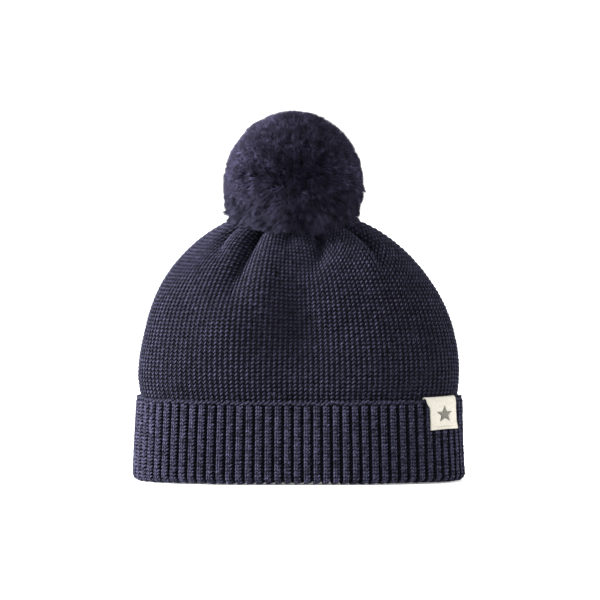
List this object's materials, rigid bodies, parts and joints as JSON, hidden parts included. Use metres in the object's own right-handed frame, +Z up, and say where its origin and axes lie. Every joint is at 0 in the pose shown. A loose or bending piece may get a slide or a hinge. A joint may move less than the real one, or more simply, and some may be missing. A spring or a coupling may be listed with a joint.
{
  "type": "pom pom beanie",
  "caption": "Knitted winter hat with a smooth crown drawn together at the top, a turned-up ribbed cuff, a folded side label and a ball of cut yarn tied on top.",
  "frame": {"origin": "middle of the oval ring that the fold of the cuff stands on", "axes": "+Z up from the cuff to the pompom, -Y the front of the hat, +X towards the side that carries the folded label"},
  "size_m": [0.182, 0.092, 0.204],
  "materials": {
    "crown_knit": "soft matt stockinette knit, very dark navy with a violet cast",
    "rib_knit": "plump matt rib knit, very dark navy",
    "pompom_pile": "dense short cut pile, very dark navy",
    "tie_yarn": "plied matt yarn, very dark navy",
    "label_ribbon": "cream woven ribbon with a fine grain",
    "label_thread": "cream sewing thread",
    "motif_thread": "grey-olive embroidery thread",
    "care_label_satin": "white woven satin"
  },
  "bodies": {
    "crown": {"crown_shell": "crown_knit", "band_inner_layer": "rib_knit", "back_seam_thread": "tie_yarn", "gather_yarn": "tie_yarn", "gather_yarn_knot": "tie_yarn", "pompom_anchor_knot": "tie_yarn", "tie_strand_left": "tie_yarn", "tie_strand_right": "tie_yarn"},
    "cuff": {"cuff_outer_layer": "rib_knit", "cuff_edge_chain": "rib_knit", "side_label": "label_ribbon", "side_label_stitching": "label_thread", "side_label_motif": "motif_thread"},
    "care_tag": {"care_label": "care_label_satin", "care_label_stitching": "label_thread"},
    "tie_neck": {"tie_neck_wrap": "tie_yarn"},
    "tie_knot": {"tie_swivel_knot": "tie_yarn"},
    "pompom": {"pompom_binding": "tie_yarn", "pompom_tie_loop": "tie_yarn", "pompom_pile": "pompom_pile"}
  },
  "joints": [
    {"name": "cuff_unfold", "type": "slide", "parent": "crown", "child": "cuff", "axis": [0, 0, -1], "range_m": [0, 0.042]},
    {"name": "care_tag_flap", "type": "hinge", "parent": "crown", "child": "care_tag", "pos_m": [0.0015, 0.0381, 0.056], "axis": [0, 0, -1], "range_deg": [0, 135]},
    {"name": "pompom_twist", "type": "hinge", "parent": "crown", "child": "tie_neck", "pos_m": [-0.003, 0, 0.1395], "axis": [0, 0, 1], "range_deg": [-35, 35], "stiffness_Nm_per_rad": 0.02},
    {"name": "pompom_nod", "type": "hinge", "parent": "tie_neck", "child": "tie_knot", "pos_m": [-0.003, 0, 0.1395], "axis": [1, 0, 0], "range_deg": [-12, 12], "stiffness_Nm_per_rad": 0.06},
    {"name": "pompom_lean", "type": "hinge", "parent": "tie_knot", "child": "pompom", "pos_m": [-0.003, 0, 0.1395], "axis": [0, 1, 0], "range_deg": [-12, 12], "stiffness_Nm_per_rad": 0.06}
  ]
}
